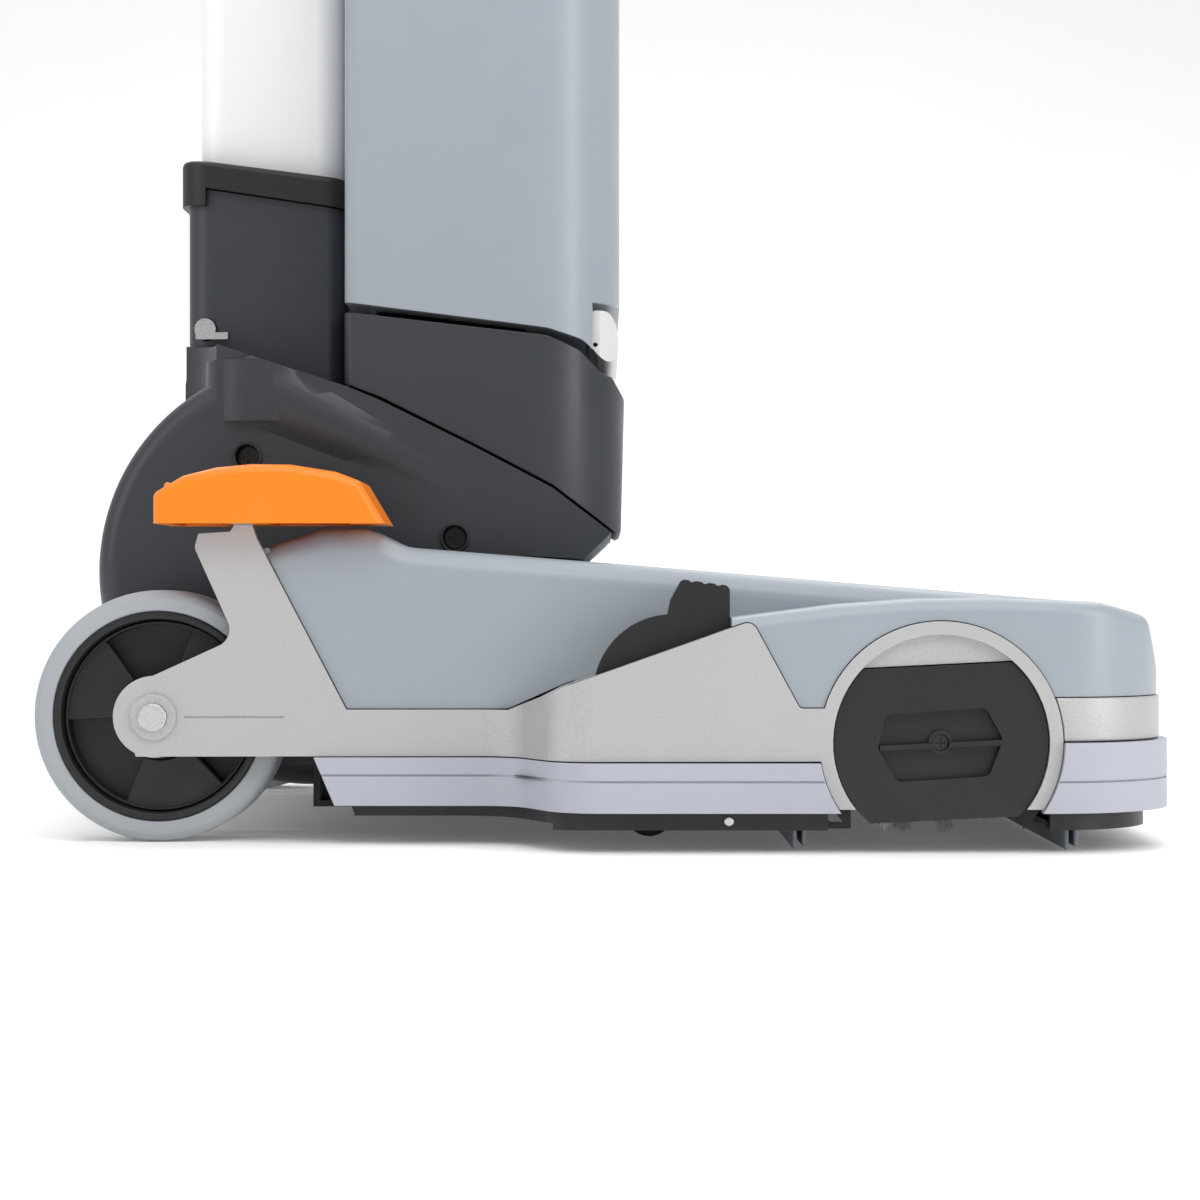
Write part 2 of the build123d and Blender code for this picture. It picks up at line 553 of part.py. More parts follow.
# hollow flare between the neck and the wide shell
below_seam = prism(make_face(Polyline(*SEAM, (60, 20), (-190, 20), close=True)), -120, 120)
for _, s in SIDES:
    curve = Spline((-160.6, s * 103.0), (-163.2, s * 90.0), (-169.0, s * 73.0), (-180.6, s * 57.2))
    flare = make_face(curve + Polyline((-180.6, s * 57.2), (-176, s * 50), (-156, s * 50),
                                       (-156, s * 103.0), (-160.6, s * 103.0)))
    shell += span(flare, 150, 230) & below_seam
# duct bulge on both sides, running down along the slanted seam
for _, s in SIDES:
    duct = Pos(-143, s * 84, 184) * Sphere(25)
    duct += Pos(-143, s * 84, 184) * Cylinder(25, 26)
    slant = math.degrees(math.atan2(-54, 112))
    duct += Pos(-143, s * 84, 184) * Rot(0, 90 - slant, 0) * Pos(0, 0, 52) * Cone(25, 20, 104)
    top = [(-176, 206), (-161.0, 203.3), (-106.0, 185.2), (-92.5, 179.5), (-52.0, 159.5), (-30, 148),
           (-44, 120), (-150, 120), (-176, 160)]
    shell += duct & prism(outline(top), -109.5, 109.5)
shell -= lower_body(BODY_HALF - WALL, WALL, 8.0) + neck(NECK_HALF - WALL, WALL)
# ribs that close the shell towards the cradle and socket
seam_top = [(-160.5, 203.3), (-106.0, 185.6), (-92.5, 180.0), (-52.0, 160.0), (-20.0, 143.2),
            (5.0, 124.2), (0.0, 122.0), (-20.0, 139.6), (-52.0, 156.4), (-92.5, 176.4), (-106.0, 182.0),
            (-160.5, 199.7)]
shell += prism(outline(seam_top), -BODY_HALF + 0.5, BODY_HALF - 0.5)
neck_top = [(-178.0, 206.1), (-161.0, 203.4), (-150.0, 199.9), (-150.0, 196.3), (-161.0, 199.8), (-178.4, 202.6)]
shell += prism(outline(neck_top), -NECK_HALF + 0.5, NECK_HALF - 0.5)
# neck opening for the column, opening for the air duct
shell -= brick(-177.05, -112.95, -46.05, 46.05, 150, 260)
shell -= brick(-84, -40, -40, 40, 140, 200)
# recessed screw wells on both sides
BODY_SCREWS = [(-148.0, 156.0), (-61.0, 122.0)]
for x, z in BODY_SCREWS:
    for _, s in SIDES:
        shell += pole(x, z, 8.5, min(s * 88, s * 104), max(s * 88, s * 104))
        shell -= pole(x, z, 6.3, min(s * 95, s * 120), max(s * 95, s * 120))
        shell -= pole(x, z, 2.05, min(s * 80, s * 120), max(s * 80, s * 120))
# exhaust slots at the back of the drum
for k in range(9):
    for _, s in SIDES:
        yy = s * (14 + 9 * k)
        slot = Pos(PIVOT_X - DRUM_R, yy, PIVOT_Z + 8) * Box(24, 3.4, 46)
        shell -= slot & pole(PIVOT_X, PIVOT_Z, DRUM_R + 5, -100, 100)
half_space = brick(-300, 100, -200, -0.15, 0, 400)
drum_right = shell & half_space
drum_right = max(drum_right.solids(), key=lambda b: b.volume)
save("drum_right", drum_right)
save("drum_left", flip(drum_right))

trunnion = pole(PIVOT_X, PIVOT_Z, 14.0, -113, -104) + pole(PIVOT_X, PIVOT_Z, 9.0, -123, -104)
save("trunnions", [trunnion, flip(trunnion)])

screws = []
for x, z in BODY_SCREWS:
    screw = pole(x, z, 4.4, -98.5, -95.05) + pole(x, z, 2.0, -96, -84)
    screw -= Pos(x, -98.6, z) * (Box(5.2, 2.4, 1.2) + Box(1.2, 2.4, 5.2))
    screws += [screw, flip(screw)]
save("body_screws", screws)
wells = []
for x, z in BODY_SCREWS:
    ring = pole(x, z, 6.25, -105.2, -99.0) - pole(x, z, 5.0, -110, -90)
    wells += [ring, flip(ring)]
save("screw_rings", wells)

# ---------------------------------------------------------------- socket and collar
def socket_solid(off, z0, z1):
    return span(rounded(-181.0, -111.4, 57.0, 13.0, 8.0, off), z0, z1)


def slanted_slab(z_rear, z_front, thick_rear, thick_front, reach_out=8.0):
    """Prism between two sloping planes; heights are given at the socket's rear and front."""
    x0, x1 = -181.0 - reach_out, -111.4 + reach_out
    rise = (z_front - z_rear) / 69.6
    lift = (thick_front - thick_rear) / 69.6
    pts = [(x0, z_rear - rise * reach_out), (x1, z_front + rise * reach_out),
           (x1, z_front + thick_front + (rise + lift) * reach_out),
           (x0, z_rear + thick_rear - (rise + lift) * reach_out)]
    return prism(outline(pts), -90, 90)


socket = socket_solid(0, 150, 300) & slanted_slab(200.0, 180.0, 76.7, 86.3)
socket -= span(rounded(-177.05, -112.95, 46.05, 12.05), 100, 400)
socket -= socket_solid(-WALL, 100, 300) & slanted_slab(209, 190, 60, 68)
socket += (span(rounded(-179.5, -112.0, 48.5, 13.0) - rounded(-177.05, -112.95, 46.05, 12.05), 100, 300)
           & slanted_slab(207.2, 188.4, 60, 68))
socket -= Pos(0, 0, GAP) * below_seam
socket -= pole(-172.0, 214.0, 5.0, -62, -52)
socket = max(socket.solids(), key=lambda b: b.volume)
save("socket", socket)

collar = socket_solid(3.0, 200, 320) & slanted_slab(277.2, 266.8, 11.5, 13.0)
collar -= span(rounded(-177.3, -112.7, 46.3, 12.3), 100, 400)
droop = socket_solid(3.0, 200, 320) & slanted_slab(268.5, 266.0, 9.3, 1.2) & brick(-190, -172, -60, 60, 200, 300)
droop -= socket_solid(0.15, 100, 400)
collar = max((collar + droop).solids(), key=lambda b: b.volume)
top_face = collar.faces().filter_by(lambda f: f.normal_at().Z > 0.9).sort_by(Axis.Z)[-1]
collar = try_fillet(collar, top_face.outer_wire().edges(), 2.6)
save("socket_collar", collar)

button = Pos(-182.4, 0, 228) * Rot(0, -90, 0) * Cylinder(5.2, 2.6)
button -= Pos(-183.9, 0, 228) * (Box(2, 5.4, 1.2) + Box(2, 1.2, 5.4))
save("socket_button", button)

catch = Pos(-172.0, -57.6, 214.0) * Rot(90, 0, 0) * Cylinder(4.6, 6.0)
catch += brick(-176.0, -162.0, -61.2, -58.2, 209.5, 212.5)
save("socket_catch", catch)

# ---------------------------------------------------------------- column
column = span(rounded(-177.0, -113.0, 46.0, 12.0) - rounded(-175.2, -114.8, 44.2, 10.2), 172.0, COLUMN_TOP)
save("column", column)

# ---------------------------------------------------------------- cradle of the dust housing
CRADLE_PTS = [
    (-108.0, 217.4), (-92.0, 215.6), (-22.0, 207.6), (-8.8, 202.0), (0.8, 192.5), (5.0, 191.5),
    (10.5, 183.0), (9.0, 125.5), (7.0, 124.6), (-20.0, 144.6), (-52.0, 161.3), (-92.0, 181.3), (-108.0, 187.4),
]


def cradle_form(off):
    face = outline(CRADLE_PTS, {3: 8.0, 6: 3.0})
    if off:
        face = offset(face, -off)
    body = prism(face, -120, 120)
    return body & span(rounded(-108.0, 10.5, 100.0, 5.0, 42.0, -off), 100, 240)


cradle = cradle_form(0.0) - cradle_form(WALL)
cradle -= brick(-80, -44, -36, 36, 140, 190)
cradle -= span(rounded(-100, -2, 84, 4, 30), 200, 240) & brick(-104, -26, -90, 90, 195, 240)
save("cradle", cradle)

# ---------------------------------------------------------------- dust housing
def housing_form(off, z_lift):
    pts = [(-108.0, 221.6 + z_lift), (-22.0, 210.8 + z_lift), (-7.0, 206.4 + z_lift), (2.6, 196.5 + z_lift),
           (8.4, 195.5 + z_lift), (8.4, HOUSING_TOP - off), (-108.0, HOUSING_TOP - off)]
    body = prism(outline(pts, {2: 10.0}), -120, 120)
    return body & span(rounded(-108.0, 8.4, 100.0, 6.0, 40.0, -off), 100, 900)


housing = housing_form(0, 0) - housing_form(WALL, WALL * 1.05)
housing -= span(rounded(-108.0, 8.4, 100.0, 6.0, 40.0, -WALL), HOUSING_TOP - 20, HOUSING_TOP + 10)
housing -= span(rounded(-97, -32, 78, 4), 190, 232)
# front edge strips of the door
housing -= span(rounded(-108.0, 8.4, 100.0, 6.0, 40.0, 2.0) - rounded(-108.0, 8.4, 100.0, 6.0, 40.0, -0.8),
                400.0, 401.0)
LATCH_HALF = 84.0
pocket = brick(-9.0, 12.0, -LATCH_HALF - 7, LATCH_HALF + 7, 190, 225.5) & housing_form(0, 0)
housing += pocket
housing -= brick(-6.0, 12.0, -LATCH_HALF - 4, LATCH_HALF + 4, 180, 222.5)
housing = max(housing.solids(), key=lambda b: b.volume)
save("dust_housing", housing)

latch_pts = [(-5.5, 206.0), (-1.0, 200.5), (2.5, 198.2), (5.6, 198.6), (7.8, 202.5), (8.1, 208.5),
             (7.0, 215.0), (4.0, 219.6), (-5.5, 219.6)]
latch = prism(outline(latch_pts, {1: 3.0, 2: 3.0, 3: 3.0, 4: 4.0, 5: 8.0, 6: 8.0, 7: 4.0}), -LATCH_HALF, LATCH_HALF)
latch = latch & span(rounded(-108.0, 8.4, 100.0, 6.0, 40.0, -0.3), 180, 240)
latch -= pole(-2.0, 205.0, 1.0, -90, 90)
latch_ends = [e for e in latch.edges() if abs(abs(e.center().Y) - LATCH_HALF) < 0.1 and e.center().X > -3]
latch = try_fillet(latch, latch_ends, 2.0)
save("housing_latch", latch)

lid = span(rounded(-108.0, 8.4, 100.0, 6.0, 40.0), HOUSING_TOP + GAP, HOUSING_TOP + 22)
lid_top = [e for e in lid.edges() if e.center().Z > HOUSING_TOP + 21]
lid = try_fillet(lid, lid_top, 12.0)
lid -= span(rounded(-108.0, 8.4, 100.0, 6.0, 40.0, -WALL), HOUSING_TOP - 5, HOUSING_TOP + 16)
lid += span(rounded(-108.0, 8.4, 100.0, 6.0, 40.0, -3.4) - rounded(-108.0, 8.4, 100.0, 6.0, 40.0, -5.4),
            HOUSING_TOP - 8, HOUSING_TOP + 17)
lid -= brick(-108, -100, -100, 100, HOUSING_TOP - 10, HOUSING_TOP + 0.4)
save("housing_lid", lid)

# ---------------------------------------------------------------- parts inside the upper body
bag = span(rounded(-97, -4, 86, 18, 34), 248, 715)
bag_edges = [e for e in bag.edges() if e.center().Z > 714 or e.center().Z < 249]
bag = try_fillet(bag, bag_edges, 14.0)
bag -= span(rounded(-91, -10, 80, 12, 28), 254, 709)
save("filter_bag", bag)
grate = span(rounded(-99, -28, 82, 3, 6), 205.0, 209.0) & brick(-104, -26, -90, 90, 195, 240)
for k in range(-7, 8):
    grate -= brick(-94, -34, k * 10 - 2.2, k * 10 + 2.2, 200, 215)
save("motor_filter", grate)

motor = pole(PIVOT_X, PIVOT_Z, 52.0, -58, 30) + pole(PIVOT_X, PIVOT_Z, 44.0, -72, -58)
motor -= pole(PIVOT_X, PIVOT_Z, 4.05, 10, 40)
for k in range(12):
    a = math.radians(30 * k)
    motor -= pole(PIVOT_X + 46 * math.cos(a), PIVOT_Z + 46 * math.sin(a), 4.0, 22, 40)
save("suction_motor", motor)
fan = pole(PIVOT_X, PIVOT_Z, 50.0, 36, 38) + pole(PIVOT_X, PIVOT_Z, 9.0, 34, 56) + pole(
    PIVOT_X, PIVOT_Z, 4.0, 12, 36)
for k in range(12):
    vane = Pos(31, 0, 0) * Box(37, 14, 1.8)
    fan += Pos(PIVOT_X, 44.5, PIVOT_Z) * (Rot(0, 30 * k, 0) * vane)
save("fan_wheel", fan)
mount = pole(PIVOT_X, PIVOT_Z, 86.7, -40, -34) - pole(PIVOT_X, PIVOT_Z, 52.05, -50, -30)
mount = mount & brick(-240, 0, -60, 60, 0, 150)
save("motor_mount", mount)

# ---------------------------------------------------------------- handle
clamp = span(rounded(-182.0, -108.4, 51.0, 16.0), COLUMN_TOP - 26, COLUMN_TOP + 14)
clamp = try_fillet(clamp, [e for e in clamp.edges() if e.center().Z > COLUMN_TOP + 13], 5.0)
clamp -= span(rounded(-177.05, -113.0 + 0.05, 46.05, 12.05), 100, COLUMN_TOP + 0.05)
clamp -= Pos(-145, 0, 850) * Cylinder(15.06, 200)
clamp -= brick(-111.0, -90, -120, 120, 0, HOUSING_TOP + 23) & brick(-111.0, -90, -120, 120, 0, 1)
save("column_clamp", clamp)
tube = Pos(-145, 0, 835) * Cylinder(15.0, 470) - Pos(-145, 0, 835) * Cylinder(13.0, 480)
save("handle_tube", tube)


def rod(a, b, ra, rb):
    """Tapered round rod between two points of the mid plane, with a ball at its far end."""
    dx, dz = b[0] - a[0], b[1] - a[1]
    length = math.hypot(dx, dz)
    turn = math.degrees(math.atan2(dx, dz))
    bar = Cylinder(ra, length) if ra == rb else Cone(ra, rb, length)
    body = Pos((a[0] + b[0]) / 2, 0, (a[1] + b[1]) / 2) * Rot(0, turn, 0) * bar
    return body + Pos(b[0], 0, b[1]) * Sphere(rb)


GRIP_PTS = [(-145, 1052, 16), (-146, 1084, 15), (-153, 1112, 13), (-170, 1129, 12), (-187, 1134, 11.5),
            (-204, 1128, 11.5), (-213, 1110, 11.5), (-206, 1088, 11.5), (-188, 1070, 11.5),
            (-167, 1055, 11.5), (-150, 1044, 11.5)]
grip = Pos(-145, 0, 1047) * Cylinder(19.0, 46)
for a, b in zip(GRIP_PTS, GRIP_PTS[1:]):
    grip += rod(a[:2], b[:2], a[2], b[2])
grip -= Pos(-145, 0, 1000) * Cylinder(15.06, 141)
grip -= brick(-188, -166, -5.0, 5.0, 1138.5, 1160)
save("handle_grip", max(grip.solids(), key=lambda b: b.volume))
switch = brick(-182, -172, -4.7, 4.7, 1138.8, 1149.5)
switch -= brick(-179.5, -178.5, -5, 5, 1148.6, 1153) + brick(-175.5, -174.5, -5, 5, 1148.6, 1153)
save("switch_slider", switch)
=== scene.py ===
import json
import math
import random

import bmesh
import bpy
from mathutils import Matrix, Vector


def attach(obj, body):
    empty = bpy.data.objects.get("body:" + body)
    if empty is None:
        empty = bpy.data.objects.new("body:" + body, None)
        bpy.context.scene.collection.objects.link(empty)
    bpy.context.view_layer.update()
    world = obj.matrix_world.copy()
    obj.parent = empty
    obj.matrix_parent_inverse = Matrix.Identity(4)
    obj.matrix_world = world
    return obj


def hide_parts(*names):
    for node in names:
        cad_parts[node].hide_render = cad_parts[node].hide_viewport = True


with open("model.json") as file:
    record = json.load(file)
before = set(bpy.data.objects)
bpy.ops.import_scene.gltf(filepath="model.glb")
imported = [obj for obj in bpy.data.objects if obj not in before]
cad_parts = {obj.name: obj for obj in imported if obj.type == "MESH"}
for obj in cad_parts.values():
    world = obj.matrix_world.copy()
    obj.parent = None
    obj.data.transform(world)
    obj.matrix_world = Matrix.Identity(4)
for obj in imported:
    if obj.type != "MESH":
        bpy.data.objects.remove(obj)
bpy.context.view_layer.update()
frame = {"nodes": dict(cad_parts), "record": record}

MM = 0.001  # millimetres to metres
NODES = frame["nodes"]
BODY_OF = {n: b for b, ns in frame["record"]["behaviour"]["bodies"].items() for n in ns}
SLOT_OF = {s["node"]: s["material_slot"] for s in frame["record"]["subparts"]}
COLL = bpy.context.scene.collection
DONE = set()  # CAD nodes that already have a piece of their own
random.seed(7)


# ---------------------------------------------------------------- materials
class Tree:
    """Small helper round a material's node tree."""

    def __init__(self, name):
        self.mat = bpy.data.materials.new(name)
        self.mat.use_nodes = True
        self.tree = self.mat.node_tree
        self.tree.nodes.clear()
        self.out = self.add("ShaderNodeOutputMaterial")
        self.bsdf = self.add("ShaderNodeBsdfPrincipled")
        self.link(self.bsdf.outputs[0], self.out.inputs["Surface"])
        self.coord = self.add("ShaderNodeTexCoord").outputs["Object"]

    def add(self, kind, **values):
        node = self.tree.nodes.new(kind)
        for key, value in values.items():
            if key in node.inputs:
                node.inputs[key].default_value = value
            else:
                setattr(node, key, value)
        return node

    def link(self, a, b):
        self.tree.links.new(a, b)

    def set(self, socket, value):
        self.bsdf.inputs[socket].default_value = value

    def feed(self, socket, output):
        self.link(output, self.bsdf.inputs[socket])

    def noise(self, scale, detail=3.0, rough=0.5, stretch=None):
        node = self.add("ShaderNodeTexNoise", Scale=scale, Detail=detail, Roughness=rough)
        source = self.coord
        if stretch:
            mapping = self.add("ShaderNodeMapping")
            mapping.inputs["Scale"].default_value = stretch
            self.link(source, mapping.inputs["Vector"])
            source = mapping.outputs[0]
        self.link(source, node.inputs["Vector"])
        return node.outputs["Fac"]

    def range(self, value, a, b, low=0.0, high=1.0):
        node = self.add("ShaderNodeMapRange")
        self.link(value, node.inputs["Value"])
        for socket, number in (("From Min", a), ("From Max", b), ("To Min", low), ("To Max", high)):
            node.inputs[socket].default_value = number
        return node.outputs["Result"]

    def mix(self, fac, a, b, mode="MIX"):
        node = self.add("ShaderNodeMix", data_type="RGBA", blend_type=mode)
        for index, value in ((0, fac), (6, a), (7, b)):
            if isinstance(value, (int, float)):
                node.inputs[index].default_value = value
            elif isinstance(value, tuple):
                node.inputs[index].default_value = (*value, 1.0)
            else:
                self.link(value, node.inputs[index])
        return node.outputs[2]

    def product(self, a, b):
        node = self.add("ShaderNodeMath", operation="MULTIPLY")
        for index, value in ((0, a), (1, b)):
            if isinstance(value, (int, float)):
                node.inputs[index].default_value = value
            else:
                self.link(value, node.inputs[index])
        return node.outputs[0]

    def bump(self, height, strength, distance, normal=None):
        node = self.add("ShaderNodeBump", Strength=strength, Distance=distance)
        self.link(height, node.inputs["Height"])
        if normal is not None:
            self.link(normal, node.inputs["Normal"])
        return node.outputs[0]


def tint(color, k):
    return tuple(min(1.0, c * k) for c in color)


WHITE = (1.0, 1.0, 1.0)
DUST_COLOR = (0.30, 0.28, 0.25)
DUST_HEIGHT = 0.06  # metres above the floor where the dust fades out


def moulded(name, color, rough, grain, grain_depth, vary, wear,
            metallic=0.0, speckle=0.0, coat=0.0, sheen=0.0, spec=0.5, dust=0.0):
    """Moulded plastic, lacquer or rubber: even tone with slow variation, fine texture, paler worn edges."""
    t = Tree(name)
    slow = t.noise(9.0, 4.0, 0.55)
    tone = t.mix(t.range(slow, 0.3, 0.7), tint(color, 1.0 - vary), tint(color, 1.0 + vary))
    if speckle:
        fleck = t.noise(2600.0, 2.0, 0.6)
        dark = t.mix(1.0, tone, (1 - speckle,) * 3, "MULTIPLY")
        tone = t.mix(t.range(fleck, 0.35, 0.65), dark, t.mix(speckle, tone, WHITE))
    if wear:
        edge = t.add("ShaderNodeNewGeometry").outputs["Pointiness"]
        scuff = t.product(t.range(edge, 0.52, 0.6), t.range(t.noise(60.0, 5.0, 0.65), 0.35, 0.7))
        tone = t.mix(t.product(scuff, wear * 2), tone, tint(color, 1.0 + 3 * wear + 0.1))
    if dust:
        place = t.add("ShaderNodeSeparateXYZ")
        t.link(t.add("ShaderNodeNewGeometry").outputs["Position"], place.inputs[0])
        low = t.range(place.outputs["Z"], 0.0, DUST_HEIGHT, dust, 0.0)
        patches = t.range(t.noise(25.0, 5.0, 0.7), 0.35, 0.65)
        tone = t.mix(t.product(low, patches), tone, DUST_COLOR)
    t.feed("Base Color", tone)
    smear = t.noise(28.0, 4.0, 0.6)
    t.feed("Roughness", t.range(smear, 0.3, 0.7, rough - 0.05, rough + 0.06))
    texture = t.bump(t.noise(grain, 2.0, 0.6), grain_depth, 0.0004)
    t.feed("Normal", t.bump(t.noise(18.0, 2.0, 0.5), 0.05, 0.0006, texture))
    t.set("Metallic", metallic)
    t.set("Specular IOR Level", spec)
    if coat:
        t.set("Coat Weight", coat)
        t.set("Coat Roughness", 0.25)
    if sheen:
        t.set("Sheen Weight", sheen)
    return t.mat


def brushed(name, color, rough, along):
    """Drawn or turned metal with fine lines along one axis."""
    t = Tree(name)
    stretch = [260.0, 260.0, 260.0]
    stretch["XYZ".index(along)] = 4.0
    lines = t.noise(6.0, 3.0, 0.6, tuple(stretch))
    t.feed("Base Color", t.mix(t.range(lines, 0.3, 0.7), tint(color, 0.92), tint(color, 1.05)))
    t.feed("Roughness", t.range(lines, 0.25, 0.75, rough - 0.06, rough + 0.08))
    t.feed("Normal", t.bump(lines, 0.08, 0.0003))
    t.set("Metallic", 1.0)
    return t.mat


def cloth(name, color):
    """Woven filter cloth: warp and weft threads crossing."""
    t = Tree(name)
    threads = []
    for direction in "XZ":
        wave = t.add("ShaderNodeTexWave", wave_type="BANDS", bands_direction=direction,
                     Scale=420.0, Distortion=1.2)
        t.link(t.coord, wave.inputs["Vector"])
        threads.append(wave.outputs["Fac"])
    weave = t.product(*threads)
    t.feed("Base Color", t.mix(t.range(t.noise(14.0, 4.0), 0.3, 0.7), tint(color, 0.9), color))
    t.feed("Normal", t.bump(weave, 0.5, 0.0006))
    t.feed("Roughness", t.range(weave, 0.0, 1.0, 0.82, 0.95))
    t.set("Sheen Weight", 0.4)
    return t.mat


def plain(name, color, rough, glow):
    """Even studio floor, slightly self-lit so that it stays near white."""
    t = Tree(name)
    t.feed("Base Color", t.mix(t.range(t.noise(3.0, 3.0), 0.3, 0.7), tint(color, 0.985), color))
    t.set("Roughness", rough)
    t.set("Specular IOR Level", 0.1)
    t.set("Emission Color", (*WHITE, 1.0))
    t.set("Emission Strength", glow)
    return t.mat


# colour, roughness, grain scale, grain depth, tone variation, edge wear
MAT = {
    "charcoal": moulded("charcoal_plastic", (0.026, 0.030, 0.037), 0.38, 1500, 0.10, 0.04, 0.06),
    "black_plastic": moulded("black_plastic", (0.011, 0.011, 0.012), 0.44, 900, 0.16, 0.06, 0.08,
                             spec=0.4, dust=0.05),
    "light_grey": moulded("light_grey_plastic", (0.295, 0.328, 0.366), 0.34, 1600, 0.07, 0.015, 0.04),
    "silver": moulded("silver_lacquer", (0.44, 0.435, 0.437), 0.42, 2400, 0.14, 0.015, 0.04,
                      metallic=0.35, speckle=0.13, coat=0.1),
    "bumper_rubber": moulded("bumper_rubber", (0.40, 0.415, 0.475), 0.55, 700, 0.12, 0.03, 0.04, dust=0.10),
    "tyre_rubber": moulded("tyre_rubber", (0.33, 0.355, 0.38), 0.6, 520, 0.22, 0.05, 0.05, dust=0.30),
    "orange": moulded("orange_plastic", (0.86, 0.205, 0.0), 0.36, 1000, 0.10, 0.03, 0.05),
    "steel": brushed("turned_steel", (0.60, 0.61, 0.62), 0.28, "Y"),
    "black_metal": moulded("black_metal", (0.022, 0.022, 0.024), 0.34, 500, 0.10, 0.05, 0.2, metallic=0.3),
    "white_column": moulded("white_column", (0.84, 0.845, 0.85), 0.33, 1600, 0.06, 0.012, 0.0),
    "bristle": moulded("nylon_bristle", (0.82, 0.82, 0.79), 0.45, 800, 0.1, 0.04, 0.0, sheen=0.2),
    "blade_rubber": moulded("blade_rubber", (0.20, 0.225, 0.26), 0.5, 700, 0.14, 0.06, 0.08, dust=0.2),
    "bag_cloth": cloth("bag_cloth", (0.75, 0.71, 0.62)),
    "motor_alu": brushed("motor_case", (0.45, 0.45, 0.46), 0.42, "X"),
    "latch_white": moulded("latch_plastic", (0.66, 0.66, 0.65), 0.38, 1200, 0.1, 0.03, 0.05),
}


# ---------------------------------------------------------------- shared steps
def new_object(name, data):
    obj = bpy.data.objects.new(name, data)
    COLL.objects.link(obj)
    return obj


def mesh_from(name, bm):
    data = bpy.data.meshes.new(name)
    bm.to_mesh(data)
    bm.free()
    return data


def evaluated_mesh(obj):
    bpy.context.view_layer.update()
    return bpy.data.meshes.new_from_object(obj.evaluated_get(bpy.context.evaluated_depsgraph_get()))


def soften(obj, bevel, angle, miter="MITER_SHARP"):
    """Small rounded edges with even shading."""
    if bevel:
        mod = obj.modifiers.new("bevel", "BEVEL")
        mod.width = bevel
        mod.segments = 3
        mod.limit_method = "ANGLE"
        mod.angle_limit = math.radians(angle)
        mod.miter_outer = miter
        mod.harden_normals = True
    obj.modifiers.new("normals", "WEIGHTED_NORMAL").keep_sharp = True


def bridge(bm, first, second):
    """Quads between two closed rings of vertices."""
    for i in range(len(first)):
        j = (i + 1) % len(first)
        bm.faces.new((first[i], first[j], second[j], second[i]))


# ---------------------------------------------------------------- pieces copied from the CAD nodes
# slanted rear ends and open sides at the end caps of the under-pan: XZ points in millimetres
TAIL = [(-130, 7), (-95, 7), (-109, 44), (-130, 60)]
SIDE = [(86.5, 7), (171, 7), (171, 17), (86.5, 17)]
# each prism also has the Y where it starts and ends
TRIMS = {"chassis": [(TAIL, -222, -126), (TAIL, 126, 222), (SIDE, -222, -205.2), (SIDE, 205.2, 222)]}

SKIN_BEVEL = 0.0008
SMALL_BEVEL = 0.0003
SMALL_SIZE = 0.03  # a node below this size in metres gets the small bevel


def cutter(points, y0, y1):
    """Prism of XZ points in millimetres, used to trim a piece."""
    bm = bmesh.new()
    near = [bm.verts.new((x * MM, y0 * MM, z * MM)) for x, z in points]
    far = [bm.verts.new((x * MM, y1 * MM, z * MM)) for x, z in points]
    bm.faces.new(near)
    bm.faces.new(list(reversed(far)))
    for i in range(len(points)):
        j = (i + 1) % len(points)
        bm.faces.new((near[j], near[i], far[i], far[j]))
    bmesh.ops.recalc_face_normals(bm, faces=bm.faces)
    return new_object("cutter", mesh_from("cutter", bm))


def trim(obj, prisms):
    """Cuts prisms out of a piece and keeps the result as its mesh."""
    for points, y0, y1 in prisms:
        tool = cutter(points, y0, y1)
        mod = obj.modifiers.new("trim", "BOOLEAN")
        mod.operation = "DIFFERENCE"
        mod.solver = "EXACT"
        mod.object = tool
        result = evaluated_mesh(obj)
        obj.modifiers.remove(mod)
        obj.data = result
        bpy.data.objects.remove(tool)


def skin(node):
    """Detailed stand-in of a CAD node: same form, clean faces, small rounded edges."""
    data = NODES[node].data.copy()
    obj = new_object(node + "_skin", data)
    bm = bmesh.new()
    bm.from_mesh(data)
    bmesh.ops.remove_doubles(bm, verts=bm.verts, dist=2e-6)
    bmesh.ops.dissolve_limit(bm, angle_limit=math.radians(0.6), verts=bm.verts, edges=bm.edges)
    for face in bm.faces:
        face.smooth = True
    bm.to_mesh(data)
    bm.free()
    data.materials.clear()
    data.materials.append(MAT[SLOT_OF[node]])
    for polygon in data.polygons:
        polygon.material_index = 0
    if node in TRIMS:
        trim(obj, TRIMS[node])
    small = max(NODES[node].dimensions) < SMALL_SIZE
    soften(obj, SMALL_BEVEL if small else SKIN_BEVEL, 28.0, "MITER_ARC")
    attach(obj, BODY_OF[node])
    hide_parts(node)


# ---------------------------------------------------------------- pieces modelled here
def finish_piece(name, bm, material, body, node=None, bevel=0.0):
    """Turns a bmesh into a piece that rides a body, in place of a CAD node or beside it."""
    bmesh.ops.recalc_face_normals(bm, faces=bm.faces)
    for face in bm.faces:
        face.smooth = True
    data = mesh_from(name, bm)
    obj = new_object(name, data)
    data.materials.append(MAT[material])
    soften(obj, bevel, 30.0)
    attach(obj, body)
    if node:
        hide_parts(node)
        DONE.add(node)


